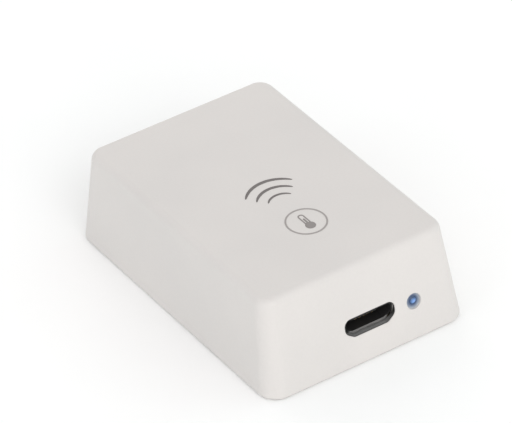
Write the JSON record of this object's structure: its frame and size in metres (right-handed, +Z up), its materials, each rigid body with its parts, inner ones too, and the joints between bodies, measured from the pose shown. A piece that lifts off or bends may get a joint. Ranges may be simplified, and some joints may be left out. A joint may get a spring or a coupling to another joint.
{
  "type": "wireless temperature sensor",
  "caption": "Small white box-shaped wireless temperature sensor with drafted walls, a micro USB power socket, a blue status light and a lift-off upper shell over its circuit board.",
  "frame": {"origin": "centre of the underside, on the surface it stands on", "axes": "+Z up out of the printed top, +Y along the length away from the socket wall, +X to the right seen from the socket wall"},
  "size_m": [0.0316, 0.046, 0.014],
  "materials": {
    "white_shell": "fine matt moulded texture",
    "light_guide": "clear, polished",
    "grey_ink": "satin pad print",
    "white_base": "fine matt moulded texture",
    "green_board": "semi-gloss solder mask",
    "screw_steel": "zinc plated",
    "socket_steel": "satin, stamped",
    "black_plastic": "moulded",
    "grey_lining": "soft, moulded",
    "gold": "plated",
    "led_case": "moulded",
    "led_window": "clear resin",
    "module_laminate": "semi-gloss solder mask",
    "solder": "reflowed, smooth",
    "copper": "under solder mask",
    "can_steel": "tinned sheet",
    "chip_black": "moulded epoxy",
    "crystal_steel": "plated lid",
    "tinned_leads": "tinned",
    "fuse_green": "moulded",
    "ceramic_tan": "fired ceramic",
    "tantalum_yellow": "moulded epoxy",
    "resistor_black": "glazed",
    "tin": "tinned"
  },
  "bodies": {
    "base": {"base_cover": "white_base", "circuit_board": "green_board", "board_screws": "screw_steel", "usb_shell": "socket_steel", "usb_insulator": "black_plastic", "usb_contacts": "gold", "status_led": "led_case", "led_lens": "led_window", "module_board": "module_laminate", "module_solder": "solder", "module_antenna": "copper", "shield_can": "can_steel", "radio_chip": "chip_black", "flash_chip": "chip_black", "module_crystal": "crystal_steel", "temperature_sensor": "chip_black", "sensor_leads": "tinned_leads", "voltage_regulator": "chip_black", "regulator_leads": "tinned_leads", "input_fuse": "fuse_green", "protection_diode": "chip_black", "ceramic_capacitors": "ceramic_tan", "tantalum_capacitor": "tantalum_yellow", "chip_resistors": "resistor_black", "chip_terminals": "tin", "test_pads": "gold"},
    "cover": {"upper_shell": "white_shell", "light_pipe": "light_guide", "top_symbols": "grey_ink", "socket_liner": "grey_lining"}
  },
  "joints": [
    {"name": "cover_lift", "type": "slide", "parent": "base", "child": "cover", "axis": [0, 0, 1], "range_m": [0, 0.025]}
  ]
}
